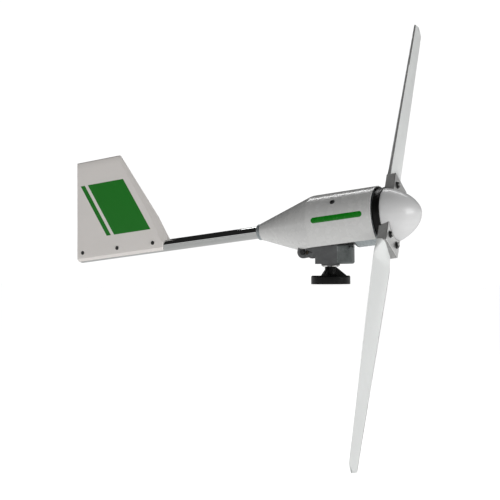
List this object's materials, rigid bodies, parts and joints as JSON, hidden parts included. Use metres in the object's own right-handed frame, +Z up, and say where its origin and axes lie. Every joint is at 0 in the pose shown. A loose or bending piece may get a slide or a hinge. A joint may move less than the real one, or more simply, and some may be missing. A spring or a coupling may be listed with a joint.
{
  "type": "small wind turbine",
  "caption": "Small horizontal-axis wind turbine: slim blades on a pitched hub bar, round nose, hooded alternator that tilts up on a hinge, tube boom with an upright tail vane, mast flange.",
  "frame": {"origin": "centre of the mast flange's underside, on the yaw axis", "axes": "+Z up along the yaw axis, +X from the tail towards the rotor's nose, +Y completes a right-handed frame"},
  "size_m": [1.5407, 1.2096, 1.6513],
  "materials": {
    "black_casting": "semi-gloss black paint on cast metal",
    "grey_casting": "satin grey paint on cast aluminium",
    "brush_housing_grey": "satin grey paint on cast aluminium",
    "light_casting": "bare cast aluminium",
    "hub_casting": "cast aluminium, fine speckle",
    "white_paint": "semi-gloss white paint",
    "spinner_white": "semi-gloss white",
    "vane_paint": "satin warm light grey, plain green field on each side",
    "blade_white": "satin off-white",
    "stainless": "polished stainless tube",
    "shaft_steel": "ground steel",
    "bearing_steel": "bearing steel with seals",
    "zinc_hardware": "bright zinc plate",
    "dark_steel": "black oxide steel",
    "laminations": "stacked steel sheet",
    "magnet": "nickel-plated magnet",
    "slip_ring_copper": "copper rings on a moulded core",
    "winding_copper": "enamelled copper",
    "bronze": "sintered bronze",
    "carbon": "carbon-graphite",
    "insulator": "phenolic moulding",
    "cable_rubber": "black cable sheath",
    "seal_rubber": "black rubber"
  },
  "bodies": {
    "mast_base": {"base_flange": "black_casting", "yaw_shaft": "shaft_steel", "yaw_lock_nut": "zinc_hardware", "slip_ring_drum": "slip_ring_copper", "down_cable": "cable_rubber"},
    "yaw_head": {"yaw_housing": "grey_casting", "yaw_bearing_lower": "bearing_steel", "yaw_bearing_upper": "bearing_steel", "lower_bearing_cap": "grey_casting", "yaw_seal": "seal_rubber", "yaw_dust_cap": "grey_casting", "brush_housing": "brush_housing_grey", "brush_holder": "insulator", "carbon_brush_1": "carbon", "carbon_brush_2": "carbon", "carbon_brush_3": "carbon", "hinge_bolt": "dark_steel", "hinge_nut": "zinc_hardware", "tilt_bumper": "seal_rubber", "cap_screw_1": "zinc_hardware", "cap_screw_2": "zinc_hardware", "cap_screw_3": "zinc_hardware", "cap_screw_4": "zinc_hardware", "brush_housing_screw_1": "dark_steel", "brush_housing_screw_2": "dark_steel"},
    "nacelle": {"alternator_cable": "cable_rubber", "alternator_front_bell": "light_casting", "alternator_housing": "light_casting", "boom_bolt_1": "zinc_hardware", "boom_bolt_2": "zinc_hardware", "boom_collar": "grey_casting", "boom_end_plug": "seal_rubber", "hinge_bush": "bronze", "hood_screw_1": "dark_steel", "hood_screw_2": "dark_steel", "nacelle_shell": "white_paint", "shaft_bearing_front": "bearing_steel", "shaft_bearing_rear": "bearing_steel", "stator_core": "laminations", "stator_winding": "winding_copper", "tail_boom": "stainless", "tail_vane_left": "vane_paint", "tail_vane_right": "vane_paint", "tilt_cradle": "grey_casting", "vane_screw_1": "dark_steel", "vane_screw_2": "dark_steel", "vane_screw_3": "dark_steel"},
    "rotor": {"main_shaft": "shaft_steel", "magnet_drum": "laminations", "magnet_ring": "magnet", "hub_backplate": "black_casting", "blade_hub": "hub_casting", "blade_1": "blade_white", "blade_2": "blade_white", "blade_bolt_1": "dark_steel", "blade_bolt_2": "dark_steel", "blade_bolt_3": "dark_steel", "blade_bolt_4": "dark_steel", "hub_nut": "zinc_hardware", "spinner": "spinner_white"}
  },
  "joints": [
    {"name": "yaw", "type": "hinge", "parent": "mast_base", "child": "yaw_head", "pos_m": [0, 0, 0.1], "axis": [0, 0, 1], "continuous": true},
    {"name": "tilt", "type": "hinge", "parent": "yaw_head", "child": "nacelle", "pos_m": [-0.093, 0, 0.121], "axis": [0, -1, 0], "range_deg": [0, 65]},
    {"name": "spin", "type": "hinge", "parent": "nacelle", "child": "rotor", "pos_m": [0, 0, 0.2248], "axis": [0.9948, 0, 0.1018], "continuous": true}
  ]
}
